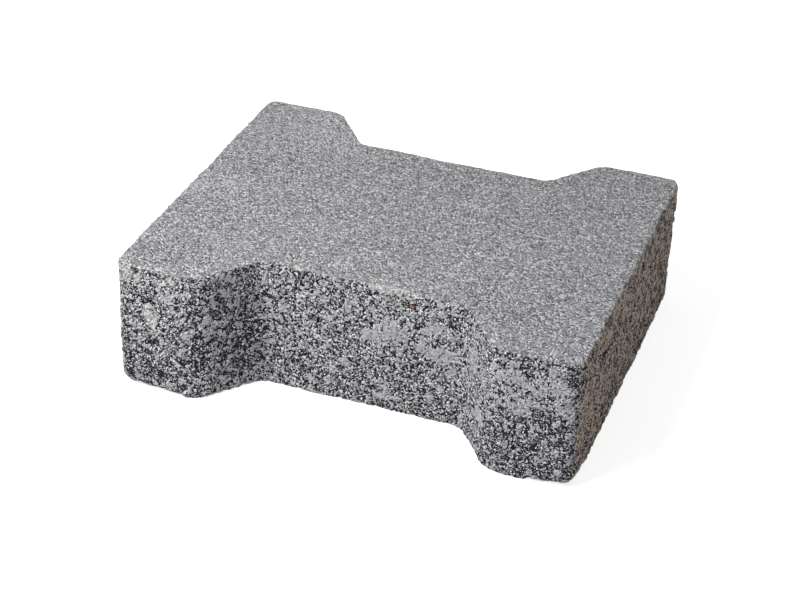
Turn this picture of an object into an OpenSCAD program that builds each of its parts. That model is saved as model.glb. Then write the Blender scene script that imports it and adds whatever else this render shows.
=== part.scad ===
// Interlocking concrete paving stone: a double-T block, pressed in one piece from one mix.
// Its plan is a rectangle with a flared notch in each long side. The flange tips of two
// neighbours in the next row, with a sand joint all round them, fill one notch.
// The origin is at the centre of the bed face, with +Z up towards the wearing face,
// +X from one straight end to the other and +Y along a straight end.

/* [Stone] */
// Length from one straight end to the other
stone_length = 200; // [160:1:240]
// Width along a straight end, from flange tip to flange tip
stone_width = 165; // [140:1:200]
// Thickness from the bed face to the wearing face
stone_height = 60; // [40:1:120]

/* [Interlock] */
// Depth of the notch in each long side
notch_depth = 25; // [15:1:35]
// Run of a notch flank along the long side, three to four of the depth
flank_run = 18.75; // [12:0.25:24]
// Sand joint between straight ends, and between a flange tip and the waist
joint_width = 5; // [2:0.5:8]
// Sand joint along a flank
flank_joint = 7.6; // [4:0.2:10]

/* [Edges] */
// Plan radius of the four outer corners
corner_radius = 5; // [3:0.5:9]
// Plan radius of the flange tips, where a flank meets the long side
tip_radius = 8; // [3:0.5:12]
// Plan radius of the notch roots, where a flank meets the waist
root_radius = 5; // [3:0.5:10]
// Width of the arris bevel round the wearing face
top_bevel = 1.5; // [0.5:0.1:2.5]
// Width of the arris bevel round the bed face
bed_bevel = 1.5; // [0.5:0.1:2.5]

/* [Hidden] */

// Facets of a full circle
$fn = 96;
// How far a cutter reaches past the surfaces that it cuts
cutter_reach = 0.3;
concrete_grey = [0.56, 0.56, 0.57];

// One notch holds the tips of two neighbours, a joint between them and a joint along each flank.
// The flank joint takes up room along the waist, less what the joint at the waist gives back.
flank_angle = atan2(notch_depth, flank_run);
flank_room = flank_joint / sin(flank_angle) - joint_width / tan(flank_angle);
tip_land = (stone_length - 2 * flank_run - joint_width - 2 * flank_room) / 4;

end_x = stone_length / 2;
tip_x = end_x - tip_land;
root_x = tip_x - flank_run;
side_y = stone_width / 2;
waist_y = side_y - notch_depth;

// The corners of one quarter of the plan, each with its radius, from a straight end to the waist.
quarter = [
    [end_x, side_y, corner_radius],
    [tip_x, side_y, tip_radius],
    [root_x, waist_y, root_radius]
];
function mirrored_quarter(x_sign, y_sign) = [for (c = quarter) [x_sign * c.x, y_sign * c.y, c.z]];
function reversed(list) = [for (i = [len(list) - 1 : -1 : 0]) list[i]];

// All the corners, counter-clockwise.
corners = concat(
    mirrored_quarter(1, 1),
    reversed(mirrored_quarter(-1, 1)),
    mirrored_quarter(-1, -1),
    reversed(mirrored_quarter(1, -1))
);
corner_count = len(corners);
corner_numbers = [0 : corner_count - 1];

// A corner's place and radius, and the heading and length of the straight edge that leaves it.
function corner_at(i) = [corners[i % corner_count].x, corners[i % corner_count].y];
function radius_at(i) = corners[i % corner_count].z;
function edge_vector(i) = corner_at(i + 1) - corner_at(i);
function heading(i) = atan2(edge_vector(i).y, edge_vector(i).x);

// How far the outline turns at a corner: positive at an outer corner, negative at a notch root.
function signed_angle(a) = a > 180 ? a - 360 : a <= -180 ? a + 360 : a;
function turn_at(i) = signed_angle(heading(i) - heading(i + corner_count - 1));
function setback_at(i) = radius_at(i) * tan(abs(turn_at(i)) / 2);

function along(angle) = [cos(angle), sin(angle)];
// Where the rounding of a corner begins and ends, and the centre that it turns about.
function arc_start(i) = corner_at(i) - setback_at(i) * along(heading(i + corner_count - 1));
function arc_end(i) = corner_at(i) + setback_at(i) * along(heading(i));
function arc_centre(i) = arc_end(i) + sign(turn_at(i)) * radius_at(i) * along(heading(i) + 90);

module corner_disc(i) {
    translate(arc_centre(i)) circle(r = radius_at(i));
}

// The plan: straight edges between the arcs, discs added at outer corners and cut from roots.
module plan_outline() {
    difference() {
        union() {
            polygon([for (i = corner_numbers) each [arc_start(i), arc_end(i)]]);
            for (i = corner_numbers) if (turn_at(i) > 0) corner_disc(i);
        }
        for (i = corner_numbers) if (turn_at(i) < 0) corner_disc(i);
    }
}

// Section of the bevel cutter, with the arris at the origin, +X outwards and +Y up.
module bevel_section(width) {
    far = width + cutter_reach;
    polygon([[-far, cutter_reach], [cutter_reach, -far], [cutter_reach, cutter_reach]]);
}

// Cutter for the straight edge that leaves a corner.
module edge_bevel(i, width) {
    edge_start = arc_end(i);
    edge_end = arc_start(i + 1);
    translate(edge_end)
        rotate([90, 0, heading(i) - 90])
            linear_extrude(norm(edge_end - edge_start)) bevel_section(width);
}

// Cutter for the arc of a corner. At a root the outside of the stone is the inside of the arc.
module corner_bevel(i, width) {
    outer = turn_at(i) > 0;
    first_angle = outer ? heading(i + corner_count - 1) - 90 : heading(i) + 90;
    translate(arc_centre(i))
        rotate([0, 0, first_angle])
            rotate_extrude(angle = abs(turn_at(i)))
                translate([radius_at(i), 0])
                    mirror([outer ? 0 : 1, 0]) bevel_section(width);
}

// Half of the block, from its middle plane up to one face, with the arris of that face bevelled:
// first round the corners, then along the straight edges.
module half_block(bevel_width) {
    half_height = stone_height / 2;
    difference() {
        difference() {
            linear_extrude(half_height) plan_outline();
            translate([0, 0, half_height])
                for (i = corner_numbers) corner_bevel(i, bevel_width);
        }
        translate([0, 0, half_height])
            for (i = corner_numbers) edge_bevel(i, bevel_width);
    }
}

module paving_stone() {
    color(concrete_grey)
        translate([0, 0, stone_height / 2])
            union() {
                half_block(top_bevel);
                mirror([0, 0, 1]) half_block(bed_bevel);
            }
}

paving_stone();
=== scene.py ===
import math
from functools import partial

import bmesh
import bpy
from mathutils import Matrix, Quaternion, Vector, noise


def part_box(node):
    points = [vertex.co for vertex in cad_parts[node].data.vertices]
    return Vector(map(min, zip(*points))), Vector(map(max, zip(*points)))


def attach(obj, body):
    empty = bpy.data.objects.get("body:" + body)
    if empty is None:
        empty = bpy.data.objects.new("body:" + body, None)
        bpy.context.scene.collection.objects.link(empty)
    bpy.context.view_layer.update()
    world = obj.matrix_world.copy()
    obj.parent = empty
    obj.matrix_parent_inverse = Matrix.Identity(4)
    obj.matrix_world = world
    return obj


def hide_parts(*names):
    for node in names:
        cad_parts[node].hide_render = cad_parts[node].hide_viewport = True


bl_info = {
    "name": "Concrete paving stone",
    "version": (1, 0, 0),
    "blender": (4, 5, 0),
    "location": "View3D > Sidebar > Paving stone",
    "description": "Builds an interlocking concrete paving stone on its CAD frame, with a studio stage",
    "category": "Add Mesh",
}

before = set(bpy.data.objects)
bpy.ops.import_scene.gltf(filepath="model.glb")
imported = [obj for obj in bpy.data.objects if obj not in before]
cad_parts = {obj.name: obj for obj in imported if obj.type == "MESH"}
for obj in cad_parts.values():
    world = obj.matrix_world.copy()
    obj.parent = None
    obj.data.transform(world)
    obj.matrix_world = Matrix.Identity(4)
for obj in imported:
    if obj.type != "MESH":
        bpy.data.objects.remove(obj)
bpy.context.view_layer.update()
STONE_LOW, STONE_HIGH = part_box("paving_stone")
STONE_SIZE = STONE_HIGH - STONE_LOW

MM = 0.001


def linear(hex_colour):
    """The linear values of an sRGB hex colour."""
    parts = [int(hex_colour[i : i + 2], 16) / 255 for i in (1, 3, 5)]
    return [p / 12.92 if p <= 0.04045 else ((p + 0.055) / 1.055) ** 2.4 for p in parts]


def length(name, description, default):
    """A setting in metres."""
    return bpy.props.FloatProperty(
        name=name, description=description, default=default, precision=4, unit="LENGTH"
    )


def colour(name, description, hex_colour):
    """A setting that is a colour."""
    return bpy.props.FloatVectorProperty(
        name=name, description=description, default=linear(hex_colour), subtype="COLOR", min=0, max=1
    )


def share(name, description, default):
    """A setting from 0 to 1."""
    return bpy.props.FloatProperty(
        name=name, description=description, default=default, min=0, max=1, subtype="FACTOR"
    )


def angle(name, description, degrees):
    """A setting that is an angle."""
    return bpy.props.FloatProperty(
        name=name, description=description, default=math.radians(degrees), subtype="ANGLE"
    )


def power(name, description, watts):
    """A setting in watts."""
    return bpy.props.FloatProperty(name=name, description=description, default=watts, unit="POWER")


class PavingStoneSettings(bpy.types.PropertyGroup):
    """Sizes, relief and colours of the paving stone."""

    length: length("Length", "From one straight end to the other", STONE_SIZE.x)
    width: length("Width", "Along a straight end, from flange tip to flange tip", STONE_SIZE.y)
    height: length("Height", "From the bed face to the wearing face", STONE_SIZE.z)
    notch_depth: length("Notch depth", "Depth of the notch in each long side", 25 * MM)
    flank_run: length("Flank run", "Run of a notch flank along the long side", 18.75 * MM)
    tip_land: length("Tip length", "Length of a flange tip along the long side", 36.5 * MM)
    corner_radius: length("Corner radius", "Plan radius of the outer corners", 5 * MM)
    tip_radius: length("Tip radius", "Plan radius of the back tips, where a flank ends", 8 * MM)
    front_tip_radius: length("Front tip radius", "Plan radius of the worn front tips", 13 * MM)
    root_radius: length("Root radius", "Plan radius where a back flank meets the waist", 5 * MM)
    front_root_radius: length("Front root radius", "Plan radius of the worn front roots", 9 * MM)
    top_arris: length("Top arris", "Rounding of the edge round the wearing face", 1 * MM)
    bed_arris: length("Bed arris", "Rounding of the edge round the bed face", 1.5 * MM)

    mesh_size: length("Mesh size", "Side of the small faces that carry the relief", 1.06 * MM)
    clump_size: length("Clumps", "Size of the clumps of crumbs in the sides", 2.6 * MM)
    crumb_size: length("Crumbs", "Size of the crumbs of sand and cement in the sides", 1.2 * MM)
    gap_spacing: length("Gap spacing", "Way from one thin gap of the sides to the next", 1.1 * MM)
    grain_size: length("Grains", "Size of the rounded grains", 0.75 * MM)
    drift_size: length("Dust drifts", "Way from one drift of dust to the next", 4 * MM)
    side_relief: length("Side relief", "Height of the clumps of the sides", 0.6 * MM)
    top_relief: length("Top relief", "Height of the clumps of the wearing face", 0.2 * MM)
    gap_depth: length("Gap depth", "Depth of the gaps between the clumps of the sides", 0.45 * MM)
    hollow_depth: length("Hollow depth", "Depth of the hollows in the sides", 1.6 * MM)
    grain_relief: length("Grain relief", "Height of what is too small for the mesh", 1 * MM)

    dark_crumb: colour("Dark crumbs", "Darkest crumbs of sand and cement", "#6c6b70")
    pale_crumb: colour("Pale crumbs", "Palest crumbs of sand and cement", "#f4f4f7")
    # Painted shade: the gap colour is near black for the shade that falls in the gaps between the crumbs
    gap: colour("Gaps", "Depth of the gaps between the crumbs", "#04041c")
    smear: colour("Smear", "Cement smeared smooth by the mould", "#929396")
    flake: colour("Flakes", "Flakes of smooth cement on the rim and the front", "#eeece7")
    # Painted light: the tan of the right end is drawn pale, which stands for light on that end
    end_tan_and_light: colour("End dust", "Tan dust on the right end", "#e6c9ad")
    stray_orange: colour("Orange grains", "Stray grains of fired clay", "#c8731c")
    stray_cream: colour("Cream grains", "Stray grains of pale quartz", "#f2ecdc")

    top_tone: share("Top tone", "Tone of most grains of the wearing face", 0.587)
    # Painted light: how much paler the patches on the left and back of the wearing face are drawn
    painted_light_lift: share("Pale lift", "How much paler the pale patches of the wearing face are", 0.14)
    lump_tone: share("Lump tone", "Tone of the solid lumps of cement in the sides", 0.63)
    lump_cover: share("Lump cover", "How far the tone of a solid lump is even", 0.75)
    smear_cover: share("Smear cover", "How far a smear hides the crumbs", 0.58)
    flake_cover: share("Flake cover", "How far a flake hides the crumbs", 0.55)
    thin_tan_and_light: share("Thin dust", "How far the dust hides the concrete between drifts", 0.35)
    thick_tan_and_light: share("Thick dust", "How far the dust hides the concrete in a drift", 0.95)
    roughness: share("Roughness", "Roughness of the concrete", 0.92)


class StageSettings(bpy.types.PropertyGroup):
    """The camera, the light and the floor."""

    camera_place: bpy.props.FloatVectorProperty(
        name="Camera",
        description="Place of the camera",
        default=(0.23646, -0.71655, 0.4861),
        subtype="TRANSLATION",
    )
    camera_azimuth: angle("Azimuth", "Turn of the view round the stone", 18.487)
    camera_elevation: angle("Elevation", "How far the view looks down", 31.774)
    camera_roll: angle("Roll", "Tilt of the picture", 2.533)
    lens: bpy.props.FloatProperty(name="Lens", description="Focal length", default=90.55, unit="CAMERA")
    key_power: power("Key light", "Power of the key light", 3.35)
    key_distance: length("Key distance", "From the middle of the bed face to the key light", 0.62)
    key_size: length("Key size", "Width of the key light", 0.28)
    fill_power: power("Fill light", "Power of the weak light from the right", 0.35)
    back_power: power("Back light", "Power of the weak light from behind", 0.7)
    weak_distance: length("Weak distance", "From the middle of the bed face to the weak lights", 0.8)
    weak_size: length("Weak size", "Width of the two weak lights", 0.5)
    sky: share("Sky", "Strength of the light from all round", 0.33)
    floor_reach: length("Floor reach", "From the middle of the floor to its edge", 4)
    floor_colour: colour("Floor", "Matt white paper", "#dedede")
    floor_glow: share("Floor glow", "What only the camera sees, which makes the paper white", 0.74)


# Ways from the stone to the lamps
KEY_WAY = (-0.35, -0.55, 0.76)
FILL_WAY = (0.85, -0.25, 0.46)
BACK_WAY = (0.3, 0.8, 0.5)

# Width in millimetres of the film that the lens goes with
FILM_WIDTH = 36

# Places on the stone in millimetres, each with a size
# Cement smeared smooth over the crumbs of the sides:
SMEARS = (
    (13, -57.5, 40, 10),
    (6, -57.5, 35, 9),
    (37, -57.5, 32, 11),
    (28, -57.5, 34.5, 10),
    (30, -57.5, 46, 7),
    (52, -67, 42, 11),
    (56, -73, 22, 9),
    (71, -82.5, 48, 12),
    (80, -82.5, 44, 9),
    (90, -82.5, 48, 12),
    (66, -82.5, 36, 9),
    (76, -82.5, 35.5, 9),
    (93, -82.5, 39, 9),
    (-54, -69.6, 56, 6),
    (-76, -82.5, 48, 7),
    (-60, -79, 36.6, 7),
)
# Patches of wider gaps, painted dark as shade; on the notch flank that faces away from the key light they
# stand for its deep shade:
WIDE_GAP_SHADE = (
    (-54, -70, 30, 32),
    (-100, -78, 10, 25),
)
# Hollows where clumps have come away:
HOLLOWS = (
    (24.6, -57.5, 30.6, 3),
    (-69, -82.5, 35, 4),
    (-88, -82.5, 44, 4),
    (-18.5, -57.5, 38, 4),
    (100, -45, 43, 7),
)
# Patches of the wearing face worn coarse:
WORN = (
    (-83, -18, 60, 22),
    (-82, -66, 60, 20),
    (-75, 30, 60, 28),
    (50, -48, 60, 16),
    (57, -57, 60, 14),
    (72, -51, 60, 20),
)
# Patches of the wearing face drawn paler, as painted light where the light falls stronger on the left and
# back:
PAINTED_LIGHT_PATCHES = (
    (-86, -10, 60, 30),
    (-78, 35, 60, 35),
    (-62, 68, 60, 45),
)
# Pale flakes of smooth cement, most of them on the rim of the wearing face:
FLAKES = (
    (-94, -82.5, 56, 4.5),
    (-90, -82.5, 54, 3.5),
    (-75, -82.5, 57, 3.5),
    (-85, -82.5, 37.7, 5),
    (-84, -82.5, 34, 4),
    (-30, -58, 60, 3),
    (-27.5, -58.2, 60, 3),
    (7, -57.5, 59, 3.4),
    (11, -57.5, 59.2, 3.2),
    (15, -57.5, 59.4, 3),
    (19, -57.5, 59.5, 2.8),
    (23, -57.5, 59.6, 2.6),
    (27, -57.5, 59.7, 2.4),
)
# Stray grains in the sides and at the rim, with their colour:
STRAY_GRAINS = (
    (20.9, -57.5, 53.5, 1.3, "stray_orange"),
    (21.6, -57.5, 7.5, 1.2, "stray_orange"),
    (20, -57.5, 2, 1, "stray_cream"),
    (-89, -82, 59.5, 1.3, "stray_cream"),
    (-76.5, -82, 59, 1.2, "stray_cream"),
    (41, -57.5, 59.5, 1.1, "stray_cream"),
    (47, -60.7, 55.4, 1.3, "stray_cream"),
    (83.6, -82.5, 24, 1.1, "stray_cream"),
    (88.6, -82.5, 38.5, 1, "stray_cream"),
)
# Parts of the rim that are worn rounder, with what that adds to the radius:
WORN_RIM = ((36, -57.5, 60, 14, 2.5),)
# Corners of the bed that are worn rounder, with what that adds to the radius:
WORN_BED = (
    (-98, -82.5, 0, 38, 5),
    (100, -82.5, 0, 28, 6),
)

# Waves in the faces, by their spacing and height in millimetres
FACE_WAVES = ((40, 0.3), (13, 0.2))
# Shifts that give the ragged borders other bumps along x, y and z
BORDER_SHIFTS = ((5, 0, 0), (0, 17, 0), (0, 0, 29))
# Depth in millimetres of the chips in the rim
CHIP_DEPTH = 0.8
# No arris is rounded further than this from its edge, in millimetres
ARRIS_REACH = 9
# Nearer to the outline than this, in millimetres, the face's own normal says which way is inward
OUTLINE_NEAR = 0.3

# What the mesh tells the relief and the material, at each of its points
MARKS = ("open_grain", "smear", "hollow", "worn", "pale", "flake", "tan_and_light")

# Widest gaps along a rim, as shares of a cell: sunk round clumps, and round clumps and round crumbs
# painted dark as shade
CLUMP_SUNK = 0.12
CLUMP_SHADE = 0.06
CRUMB_SHADE = 0.18
# How far a smear closes the gaps along rims and the winding ones
RIM_CLOSING = 0.18
WINDING_CLOSING = 0.07
# How far the gaps of the tan right end stand more open than others
END_OPENING = 0.06


def smooth(low, high, value):
    """0 at low, 1 at high, with an even curve between."""
    t = min(max((value - low) / (high - low), 0), 1)
    return t * t * (3 - 2 * t)


def bumps(p, spacing, shift=(0, 0, 0)):
    """Smooth random bumps at a spacing in millimetres. Another shift gives other bumps."""
    return noise.noise(p / spacing + Vector(shift))


def near(p, x, y, z, size):
    """1 at a place on the stone, falling to 0 at a distance."""
    return 1 - smooth(0, size, (p - Vector((x, y, z))).length)


def extra_radius(p, places):
    """What worn places add to the radius of an arris."""
    return sum(radius * near(p, *place) for *place, radius in places)


def plan_corners(stone):
    """The plan's sharp corners as one quarter: outer corner, flange tip and notch root."""
    end_x, side_y = stone.length / 2, stone.width / 2
    tip_x = end_x - stone.tip_land
    return (end_x, side_y), (tip_x, side_y), (tip_x - stone.flank_run, side_y - stone.notch_depth)


def add_block(bm, stone):
    """Adds the plain block: the double-T plan with rounded corners, drawn up to its height."""
    quarter = plan_corners(stone)
    outline = []
    for x_sign, y_sign, step in ((1, 1, 1), (-1, 1, -1), (-1, -1, 1), (1, -1, -1)):
        outline += [bm.verts.new((x_sign * x, y_sign * y, 0)) for x, y in quarter[::step]]
    bm.faces.new(outline)
    flank_angle = math.atan2(stone.notch_depth, stone.flank_run)
    roundings = (
        ((0, 5, 6, 11), stone.corner_radius, math.pi / 2),
        ((1, 4), stone.tip_radius, flank_angle),
        ((7, 10), stone.front_tip_radius, flank_angle),
        ((2, 3), stone.root_radius, flank_angle),
        ((8, 9), stone.front_root_radius, flank_angle),
    )
    for numbers, radius, turn in roundings:
        bmesh.ops.bevel(
            bm,
            geom=[outline[i] for i in numbers],
            offset=radius * math.tan(turn / 2),
            offset_type="OFFSET",
            segments=8,
            profile=0.5,
            affect="VERTICES",
            material=-1,
        )
    drawn = bmesh.ops.extrude_face_region(bm, geom=bm.faces[:])["geom"]
    drawn_verts = [part for part in drawn if isinstance(part, bmesh.types.BMVert)]
    bmesh.ops.translate(bm, verts=drawn_verts, vec=(0, 0, stone.height))
    bmesh.ops.recalc_face_normals(bm, faces=bm.faces[:])
    open_edges = [e for e in bm.edges if not e.is_manifold]
    if open_edges:
        raise RuntimeError(f"the block has {len(open_edges)} open edges")


def apply_modifiers(piece):
    """Makes what the modifiers give the piece's own mesh."""
    plain = piece.data
    shown = piece.evaluated_get(bpy.context.evaluated_depsgraph_get())
    piece.data = bpy.data.meshes.new_from_object(shown)
    piece.modifiers.clear()
    bpy.data.meshes.remove(plain)


def quarter_outline(stone, tip_radius, root_radius):
    """A quarter of the plan's outline in millimetres, from the middle of an end to the middle of a waist.
    It gives the straight parts by their ends, and the roundings by centre, facing, half angle and
    radius."""
    corner, tip, root = [Vector(place) / MM for place in plan_corners(stone)]
    line = [Vector((corner.x, 0)), corner, tip, root, Vector((0, root.y))]
    radii = (stone.corner_radius / MM, tip_radius / MM, root_radius / MM)
    straights, roundings = [], []
    start = line[0]
    for i, radius in enumerate(radii, start=1):
        back, on = (line[i - 1] - line[i]).normalized(), (line[i + 1] - line[i]).normalized()
        half = back.angle(on) / 2
        middle = (back + on).normalized()
        centre = line[i] + middle * (radius / math.sin(half))
        roundings.append((centre, -middle, math.pi / 2 - half, radius))
        straights.append((start, line[i] + back * (radius / math.tan(half))))
        start = line[i] + on * (radius / math.tan(half))
    straights.append((start, line[-1]))
    return straights, roundings


def nearest_on_outline(x, y, outlines):
    """The point of the plan's outline nearest to a place, in millimetres."""
    front, back = outlines
    straights, roundings = back if y > 0 else front
    p = Vector((abs(x), abs(y)))
    found = []
    for start, end in straights:
        along = end - start
        found.append(start + along * min(max((p - start).dot(along) / along.length_squared, 0), 1))
    for centre, facing, half, radius in roundings:
        out = p - centre
        if out.length > 0 and out.angle(facing) < half:
            found.append(centre + out.normalized() * radius)
    nearest = min(found, key=lambda q: (q - p).length_squared)
    return Vector((math.copysign(nearest.x, x), math.copysign(nearest.y, y), 0))


def arris_move(inset, depth, radius, inward, into_face):
    """The way from a point near a square arris to the arris rounded to a radius."""
    u, v = radius - inset, radius - depth
    reach = math.hypot(u, v)
    if u <= 0 or v <= 0 or reach <= radius:
        return Vector()
    return (inward * u + into_face * v) * (1 - radius / reach)


def weather(piece, stone):
    """Rounds and chips the arrises, makes the faces uneven, and marks where each finish lies."""
    mesh = piece.data
    height, top_arris, bed_arris = stone.height / MM, stone.top_arris / MM, stone.bed_arris / MM
    outlines = (
        quarter_outline(stone, stone.front_tip_radius, stone.front_root_radius),
        quarter_outline(stone, stone.tip_radius, stone.root_radius),
    )
    marks = {name: [] for name in MARKS}
    moved = []
    for vert in mesh.vertices:
        p, n = vert.co / MM, vert.normal.copy()
        from_top, from_bed = height - p.z, p.z
        rag = bumps(p, 3, (7, 0, 0))
        lump = bumps(p, 11, (0, 0, 53))
        inset = 0

        # Faces that are a little uneven, as a mould full of damp concrete leaves them
        move = n * sum(rise * bumps(p, spacing) for spacing, rise in FACE_WAVES)
        # Arrises worn round, more at the bed, with chips here and there
        if min(from_top, from_bed) < ARRIS_REACH:
            inward = Vector((p.x, p.y, 0)) - nearest_on_outline(p.x, p.y, outlines)
            inset = inward.length
            inward = (inward if inset > OUTLINE_NEAR else Vector((-n.x, -n.y, 0))).normalized()
            chip = CHIP_DEPTH * smooth(0.25, 0.6, bumps(p, 7, (0, 31, 0)))
            radius = max(0.3, top_arris * (1 + 0.4 * lump + 0.3 * rag) + chip)
            radius += extra_radius(p, WORN_RIM)
            move += arris_move(inset, from_top, radius, inward, Vector((0, 0, -1)))
            radius = max(0.4, bed_arris * (1 + 0.8 * lump + 0.3 * rag))
            radius += extra_radius(p, WORN_BED)
            move += arris_move(inset, from_bed, radius, inward, Vector((0, 0, 1)))

        # The wearing face is closed and fine, and the sides and the bed are open
        down_side = from_top if from_top > inset else -inset
        open_grain = smooth(-0.4, 0.6, down_side + 0.4 * rag) if from_bed > 2 else 1
        side = 1 - smooth(0.5, 0.8, abs(n.z))
        # Smears, hollows and worn patches have ragged borders
        bend = Vector([bumps(p, 4, shift) for shift in BORDER_SHIFTS])
        ragged = p + 6 * bend
        smear = max(smooth(0.3, 0.6, near(ragged, *place)) for place in SMEARS)
        hollow = max(smooth(0.2, 0.6, near(ragged, *place)) for place in HOLLOWS)
        wide_gap_shade = max(smooth(0, 0.5, near(ragged, *place)) for place in WIDE_GAP_SHADE)
        flake = max(smooth(0.2, 0.6, near(p + 1.5 * bend, *place)) for place in FLAKES)
        # Less than no smear is wider gaps, painted dark as shade: in the wide-gap shade patches and
        # hollows, near the bed and on the right
        near_bed = 1 - smooth(8, 26, p.z + 4 * lump)
        on_right = smooth(62, 70, p.x)
        smear -= 0.26 * wide_gap_shade + 0.1 * near_bed + 0.5 * hollow
        smear -= 0.1 * on_right

        marks["open_grain"].append(open_grain)
        marks["smear"].append(side * smear)
        marks["hollow"].append(side * hollow)
        marks["worn"].append(max(near(ragged, *place) for place in WORN))
        marks["pale"].append(max(near(ragged, *place) for place in PAINTED_LIGHT_PATCHES))
        marks["flake"].append(flake)
        # Painted light: faces turned to the right end get a pale tan
        marks["tan_and_light"].append(side * smooth(0.8, 0.95, n.x))
        co = (p + move) * MM
        moved.extend((co.x, co.y, max(co.z, 0)))
    for name in MARKS:
        mesh.attributes.new(name, "FLOAT", "POINT").data.foreach_set("value", marks[name])
    mesh.vertices.foreach_set("co", moved)
    mesh.update()


# Kinds of node. Their inputs go by number: Map Range takes a value, its lowest and highest and what they
# become, and Mix takes a share and then two numbers as 2 and 3 or two colours as 6 and 7.
MATH, MAP, MIX = "ShaderNodeMath", "ShaderNodeMapRange", "ShaderNodeMix"
NOISE, CELLS, VECTOR = "ShaderNodeTexNoise", "ShaderNodeTexVoronoi", "ShaderNodeVectorMath"


def add_node(tree, kind, inputs=None, output=0, **settings):
    """Adds a node with its settings, sets or links its inputs, and gives one of its outputs."""
    node = tree.nodes.new(kind)
    for name, value in settings.items():
        setattr(node, name, value)
    for key, value in (inputs or {}).items():
        if isinstance(value, bpy.types.NodeSocket):
            tree.links.new(value, node.inputs[key])
        else:
            node.inputs[key].default_value = value
    return node.outputs[output] if node.outputs else None


def uneven_cells(node, place, size):
    """Uneven cells of a size. It gives the way to the rim and from the middle, in cells, and a random
    number for each cell."""
    wander = node(NOISE, {"Vector": place, "Scale": 0.9 / size, "Detail": 1}, "Color")
    winding = node(VECTOR, {0: wander, 1: (0.7 * size,) * 3, 2: place}, operation="MULTIPLY_ADD")
    pattern = {"Vector": winding, "Scale": 1 / size}
    rim = node(CELLS, pattern, feature="DISTANCE_TO_EDGE")
    middle = node(CELLS, pattern)
    cell_colour = middle.node.outputs["Color"]
    own = node(VECTOR, {0: cell_colour, 1: (1, 0, 0)}, "Value", operation="DOT_PRODUCT")
    return rim, middle, own


def rim_gaps(node, place, rim, size, widest, closed):
    """Gaps along the rims of cells, wide in some places and closed in others and under smears."""
    openness = node(NOISE, {"Vector": place, "Scale": 1 / size, "Detail": 1})
    openness = node(MATH, {0: closed, 1: -RIM_CLOSING, 2: openness}, operation="MULTIPLY_ADD")
    limits = {0: openness, 1: 0.455, 2: 0.595, 3: -0.06, 4: widest}
    width = node(MAP, limits, interpolation_type="SMOOTHSTEP")
    beyond = node(MATH, {0: rim, 1: width}, operation="SUBTRACT")
    return node(MAP, {0: beyond, 1: 0.015, 2: -0.015}, interpolation_type="SMOOTHSTEP")


def winding_gap_shade(node, place, closed, stone):
    """Thin winding gaps between crumbs, painted near black as shade, open in some places and closed in
    others and under smears.
    """
    level = node(NOISE, {"Vector": place, "Scale": 1 / stone.gap_spacing, "Detail": 1})
    level = node(MATH, {0: level, 1: 0.5}, operation="SUBTRACT")
    beyond = node(MATH, {0: level}, operation="ABSOLUTE")
    openness = node(NOISE, {"Vector": place, "Scale": 1.1 / stone.gap_spacing, "Detail": 1})
    openness = node(MATH, {0: closed, 1: -WINDING_CLOSING, 2: openness}, operation="MULTIPLY_ADD")
    limits = {0: openness, 1: 0.465, 2: 0.57, 3: -0.02, 4: 0.103}
    width = node(MAP, limits, interpolation_type="SMOOTHSTEP")
    beyond = node(MATH, {0: beyond, 1: width}, operation="SUBTRACT")
    return node(MAP, {0: beyond, 1: 0.008, 2: -0.008}, interpolation_type="SMOOTHSTEP")


def add_relief(piece, stone):
    """Raises clumps and sinks gaps and hollows in the small faces, deep on the sides and shallow on the
    wearing face."""
    tree = bpy.data.node_groups.new("concrete relief", "GeometryNodeTree")
    tree.interface.new_socket("Geometry", in_out="INPUT", socket_type="NodeSocketGeometry")
    tree.interface.new_socket("Geometry", in_out="OUTPUT", socket_type="NodeSocketGeometry")
    node = partial(add_node, tree)
    place = node("GeometryNodeInputPosition")
    kept = node(
        "GeometryNodeStoreNamedAttribute",
        {"Geometry": node("NodeGroupInput"), "Name": "rest_place", "Value": place},
        data_type="FLOAT_VECTOR",
        domain="POINT",
    )
    side, smear, hollow = (
        node("GeometryNodeInputNamedAttribute", {"Name": name}, "Attribute", data_type="FLOAT")
        for name in ("open_grain", "smear", "hollow")
    )
    rim, middle, own = uneven_cells(node, place, stone.clump_size)
    gap = rim_gaps(node, place, rim, stone.clump_size, CLUMP_SUNK, smear)
    # Each clump is a dome at a height of its own, about the stone's true face
    dome = node(MATH, {0: middle, 1: -0.6, 2: own}, operation="MULTIPLY_ADD")
    dome = node(MATH, {0: dome, 1: 0.25}, operation="SUBTRACT")
    flat = node(MAP, {0: smear, 3: 1, 4: 0.3})
    height = node(MAP, {0: side, 3: stone.top_relief, 4: stone.side_relief})
    height = node(MATH, {0: height, 1: flat}, operation="MULTIPLY")
    sunk = node(MATH, {0: gap, 1: side}, operation="MULTIPLY")
    sunk = node(MATH, {0: sunk, 1: stone.gap_depth}, operation="MULTIPLY")
    sunk = node(MATH, {0: hollow, 1: stone.hollow_depth, 2: sunk}, operation="MULTIPLY_ADD")
    lift = node(MATH, {0: dome, 1: height}, operation="MULTIPLY")
    lift = node(MATH, {0: lift, 1: sunk}, operation="SUBTRACT")
    offset = node(VECTOR, {0: node("GeometryNodeInputNormal"), "Scale": lift}, operation="SCALE")
    shaped = node("GeometryNodeSetPosition", {"Geometry": kept, "Offset": offset})
    node("NodeGroupOutput", {0: shaped})
    piece.modifiers.new("Concrete relief", "NODES").node_group = tree
    apply_modifiers(piece)
    # The stone lies on its bed, which is flat but for pits
    for vert in piece.data.vertices:
        vert.co.z = max(vert.co.z, 0)


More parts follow.
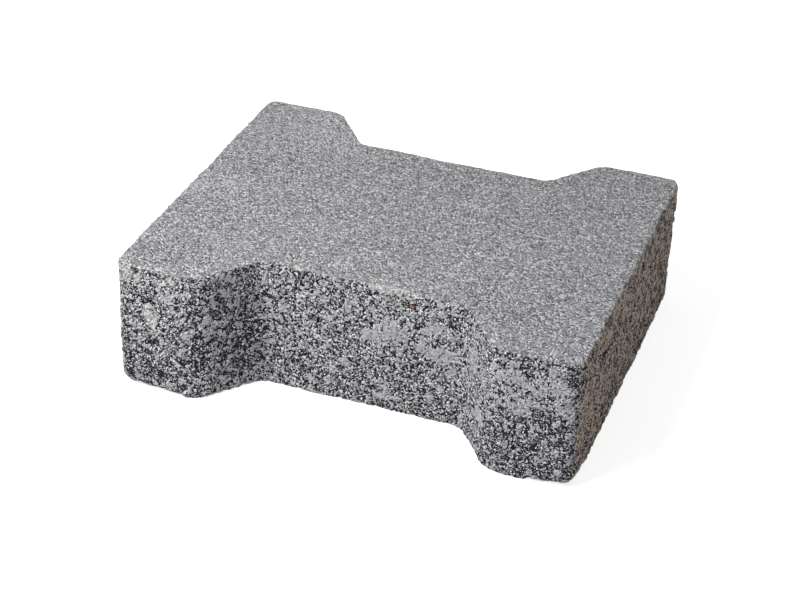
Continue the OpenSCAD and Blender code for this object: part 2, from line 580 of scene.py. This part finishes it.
def concrete_material(stone):
    """Vibration-pressed grey concrete. The wearing face is a close skin of crumbs of sand and cement. The
    sides stood against the mould and are open, with gaps between the crumbs that are painted near black
    as shade, and patches of cement that the mould smeared. It is dull all over, and what the eye sees is
    the crumbs' tones and shade. Pale patches on the left and back of the wearing face are painted light,
    and the tan of the right end is drawn pale as painted light."""
    material = bpy.data.materials.new("pressed concrete")
    material.use_nodes = True
    tree = material.node_tree
    tree.nodes.clear()
    node = partial(add_node, tree)
    place = node("ShaderNodeAttribute", output="Vector", attribute_name="rest_place")
    side, smear, worn, pale, flake, tan_and_light = (
        node("ShaderNodeAttribute", output="Fac", attribute_name=name)
        for name in ("open_grain", "smear", "worn", "pale", "flake", "tan_and_light")
    )

    # Fine grains of many greys, which stick together in crumbs and clumps. Real sand goes down to 0.2 mm,
    # too fine to show, so the finest grains are drawn at the grain size.
    clump_rim, _, clump_own = uneven_cells(node, place, stone.clump_size)
    crumb_rim, crumb_middle, crumb_own = uneven_cells(node, place, stone.crumb_size)
    _, grain_middle, grain_own = uneven_cells(node, place, stone.grain_size)
    grit = {"Vector": place, "Scale": 1.1 / stone.grain_size, "Detail": 2, "Roughness": 0.6}
    fine = node(NOISE, grit)
    side_tone = node(MAP, {0: fine, 1: 0.3, 2: 0.7, 3: -0.12, 4: 1.08})
    for own, weight in ((clump_own, 0.15), (crumb_own, 0.15), (grain_own, 0.45)):
        side_tone = node(MATH, {0: own, 1: weight, 2: side_tone}, operation="MULTIPLY_ADD")
    # Some clumps are solid lumps of cement, in an even grey
    solid = node(MAP, {0: clump_own, 1: 0.66, 2: 0.72}, interpolation_type="SMOOTHSTEP")
    even = node(MATH, {0: solid, 1: stone.lump_cover}, operation="MULTIPLY")
    side_tone = node(MIX, {0: even, 2: side_tone, 3: stone.lump_tone})
    # Most grains of the wearing face are a middle grey, and a few are dark or pale
    spread = node(MAP, {0: worn, 3: 2.5, 4: 3.8})
    off_grey = node(MATH, {0: grain_own, 1: 0.5}, operation="SUBTRACT")
    top_tone = node(MATH, {0: off_grey}, operation="ABSOLUTE")
    top_tone = node(MATH, {0: top_tone, 1: off_grey}, operation="MULTIPLY")
    top_tone = node(MATH, {0: top_tone, 1: spread, 2: stone.top_tone}, operation="MULTIPLY_ADD")
    # Painted light: the wearing face is drawn paler in patches on its left and back
    top_tone = node(MATH, {0: pale, 1: stone.painted_light_lift, 2: top_tone}, operation="MULTIPLY_ADD")
    tone = node(MIX, {0: side, 2: top_tone, 3: side_tone})
    tone = node(MATH, {0: tone, 1: 1.8}, operation="POWER")
    dark, light = (*stone.dark_crumb, 1), (*stone.pale_crumb, 1)
    face = node(MIX, {0: tone, 6: dark, 7: light}, 2, data_type="RGBA")

    # Cement smeared over the crumbs, and a pale tan in uneven patches on the right end, its paleness
    # painted light
    covered = node(MATH, {0: smear, 1: stone.smear_cover}, operation="MULTIPLY")
    face = node(MIX, {0: covered, 6: face, 7: (*stone.smear, 1)}, 2, data_type="RGBA")
    drift = node(NOISE, {"Vector": place, "Scale": 1 / stone.drift_size, "Detail": 3})
    limits = {0: drift, 1: 0.42, 2: 0.58, 3: stone.thin_tan_and_light, 4: stone.thick_tan_and_light}
    drift = node(MAP, limits, interpolation_type="SMOOTHSTEP")
    tan_and_light_share = node(MATH, {0: tan_and_light, 1: drift}, operation="MULTIPLY")
    face = node(MIX, {0: tan_and_light_share, 6: face, 7: (*stone.end_tan_and_light, 1)}, 2, data_type="RGBA")

    # Painted shade: near-black gaps round the clumps and crumbs and winding between the grains, with
    # fewer in a solid lump
    closed = node(MATH, {0: tan_and_light, 1: -END_OPENING, 2: smear}, operation="MULTIPLY_ADD")
    clump_gap_shade = rim_gaps(node, place, clump_rim, stone.clump_size, CLUMP_SHADE, closed)
    closed = node(MATH, {0: solid, 1: closed}, operation="ADD")
    gap = winding_gap_shade(node, place, closed, stone)
    crumb_gap_shade = rim_gaps(node, place, crumb_rim, stone.crumb_size, CRUMB_SHADE, closed)
    gap = node(MATH, {0: gap, 1: crumb_gap_shade}, operation="MAXIMUM")
    gap = node(MATH, {0: gap, 1: clump_gap_shade}, operation="MAXIMUM")
    gap = node(MATH, {0: gap, 1: side}, operation="MULTIPLY")
    face = node(MIX, {0: gap, 6: face, 7: (*stone.gap, 1)}, 2, data_type="RGBA")

    # Flakes on the rim, and stray grains of other colours
    flaked = node(MATH, {0: flake, 1: stone.flake_cover}, operation="MULTIPLY")
    face = node(MIX, {0: flaked, 6: face, 7: (*stone.flake, 1)}, 2, data_type="RGBA")
    for x, y, z, size, tint in STRAY_GRAINS:
        away = node(VECTOR, {0: place, 1: (x * MM, y * MM, z * MM)}, "Value", operation="DISTANCE")
        grain = node(MAP, {0: away, 1: 0.6 * size * MM, 2: 0.4 * size * MM})
        face = node(MIX, {0: grain, 6: face, 7: (*getattr(stone, tint), 1)}, 2, data_type="RGBA")

    # Crumbs and grains too small for the mesh, which catch the light on their tops
    side_height = node(MATH, {0: crumb_own, 1: 0.5}, operation="MULTIPLY")
    for part, weight in ((crumb_middle, -1.2), (fine, 0.4), (gap, -0.4)):
        side_height = node(MATH, {0: part, 1: weight, 2: side_height}, operation="MULTIPLY_ADD")
    side_rise = node(MAP, {0: smear, 3: 1.1, 4: 0.4})
    side_height = node(MATH, {0: side_height, 1: side_rise}, operation="MULTIPLY")
    top_height = node(MATH, {0: grain_own, 1: 0.5}, operation="MULTIPLY")
    top_height = node(MATH, {0: grain_middle, 1: -0.8, 2: top_height}, operation="MULTIPLY_ADD")
    top_rise = node(MAP, {0: worn, 3: 1.5, 4: 2.2})
    top_height = node(MATH, {0: top_height, 1: top_rise}, operation="MULTIPLY")
    height = node(MIX, {0: side, 2: top_height, 3: side_height})
    bump = node("ShaderNodeBump", {"Height": height, "Distance": stone.grain_relief, "Strength": 1})
    finish = {"Base Color": face, "Roughness": stone.roughness, "Normal": bump}
    node("ShaderNodeOutputMaterial", {"Surface": node("ShaderNodeBsdfPrincipled", finish)})
    return material


def paper_material(stage):
    """Matt white paper, which the camera sees as white and which keeps the stone's shadow."""
    material = bpy.data.materials.new("white paper")
    material.use_nodes = True
    tree = material.node_tree
    tree.nodes.clear()
    node = partial(add_node, tree)
    paper = node("ShaderNodeBsdfDiffuse", {"Color": (*stage.floor_colour, 1)})
    seen = node("ShaderNodeLightPath", output="Is Camera Ray")
    strength = node(MATH, {0: seen, 1: stage.floor_glow}, operation="MULTIPLY")
    glow = node("ShaderNodeEmission", {"Strength": strength})
    node("ShaderNodeOutputMaterial", {"Surface": node("ShaderNodeAddShader", {0: paper, 1: glow})})
    return material


def studio_world(stage):
    """Even soft light from all round, seen by the camera as white."""
    world = bpy.data.worlds.new("studio")
    world.use_nodes = True
    tree = world.node_tree
    tree.nodes.clear()
    node = partial(add_node, tree)
    seen = node("ShaderNodeLightPath", output="Is Camera Ray")
    for ray in ("Is Glossy Ray", "Is Transmission Ray"):
        seen = node(MATH, {0: seen, 1: node("ShaderNodeLightPath", output=ray)}, operation="MAXIMUM")
    sky = node("ShaderNodeBackground", {"Strength": stage.sky})
    white = node("ShaderNodeBackground", {"Color": (1, 1, 1, 1)})
    mixed = node("ShaderNodeMixShader", {0: seen, 1: sky, 2: white})
    node("ShaderNodeOutputWorld", {"Surface": mixed})
    return world


class PAVING_OT_stone(bpy.types.Operator):
    """Add the paving stone in place of its CAD node"""

    bl_idname = "paving.stone"
    bl_label = "Add paving stone"

    def execute(self, context):
        stone = context.scene.paving_stone
        bm = bmesh.new()
        add_block(bm, stone)
        mesh = bpy.data.meshes.new("double_t_block")
        bm.to_mesh(mesh)
        bm.free()
        piece = bpy.data.objects.new("double_t_block", mesh)
        context.scene.collection.objects.link(piece)
        small_faces = piece.modifiers.new("Small faces", "REMESH")
        small_faces.mode = "VOXEL"
        small_faces.voxel_size = stone.mesh_size
        apply_modifiers(piece)
        weather(piece, stone)
        add_relief(piece, stone)
        for face in piece.data.polygons:
            face.use_smooth = True
        piece.data.materials.append(concrete_material(stone))
        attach(piece, "root")
        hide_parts("paving_stone")
        return {"FINISHED"}


class PAVING_OT_stage(bpy.types.Operator):
    """Add the pale floor, the studio light and the camera"""

    bl_idname = "paving.stage"
    bl_label = "Add stage"

    def execute(self, context):
        scene, stage = context.scene, context.scene.paving_stage
        scene.view_settings.view_transform = "Standard"

        bm = bmesh.new()
        bmesh.ops.create_grid(bm, x_segments=1, y_segments=1, size=stage.floor_reach)
        mesh = bpy.data.meshes.new("floor")
        bm.to_mesh(mesh)
        bm.free()
        floor = bpy.data.objects.new("floor", mesh)
        scene.collection.objects.link(floor)
        floor.data.materials.append(paper_material(stage))

        lamps = (
            ("key_light", stage.key_power, stage.key_distance, stage.key_size, KEY_WAY),
            ("fill_light", stage.fill_power, stage.weak_distance, stage.weak_size, FILL_WAY),
            ("back_light", stage.back_power, stage.weak_distance, stage.weak_size, BACK_WAY),
        )
        for name, watts, distance, size, way in lamps:
            light = bpy.data.lights.new(name, "AREA")
            light.shape, light.size, light.energy = "DISK", size, watts
            lamp = bpy.data.objects.new(name, light)
            out = Vector(way).normalized()
            lamp.location, lamp.rotation_euler = out * distance, out.to_track_quat("Z", "Y").to_euler()
            scene.collection.objects.link(lamp)

        scene.world = studio_world(stage)

        optics = bpy.data.cameras.new("camera")
        optics.sensor_width, optics.lens = FILM_WIDTH, stage.lens
        camera = bpy.data.objects.new("camera", optics)
        azimuth, elevation = stage.camera_azimuth, stage.camera_elevation
        level = math.cos(elevation)
        out = Vector((math.sin(azimuth) * level, -math.cos(azimuth) * level, math.sin(elevation)))
        turn = (-out).to_track_quat("-Z", "Y") @ Quaternion((0, 0, 1), stage.camera_roll)
        camera.location, camera.rotation_euler = stage.camera_place, turn.to_euler()
        scene.collection.objects.link(camera)
        scene.camera = camera
        return {"FINISHED"}


class PAVING_PT_panel(bpy.types.Panel):
    """Settings and operators of the paving stone"""

    bl_label = "Paving stone"
    bl_idname = "PAVING_PT_panel"
    bl_space_type = "VIEW_3D"
    bl_region_type = "UI"
    bl_category = "Paving stone"

    def draw(self, context):
        for group in (context.scene.paving_stone, context.scene.paving_stage):
            for name in group.__annotations__:
                self.layout.prop(group, name)
        for operator in (PAVING_OT_stone, PAVING_OT_stage):
            self.layout.operator(operator.bl_idname)


CLASSES = (PavingStoneSettings, StageSettings, PAVING_OT_stone, PAVING_OT_stage, PAVING_PT_panel)


def register():
    for item in CLASSES:
        bpy.utils.register_class(item)
    bpy.types.Scene.paving_stone = bpy.props.PointerProperty(type=PavingStoneSettings)
    bpy.types.Scene.paving_stage = bpy.props.PointerProperty(type=StageSettings)


def unregister():
    del bpy.types.Scene.paving_stage
    del bpy.types.Scene.paving_stone
    for item in reversed(CLASSES):
        bpy.utils.unregister_class(item)


def main():
    register()
    bpy.ops.paving.stone()
    bpy.ops.paving.stage()


if __name__ == "__main__":
    main()
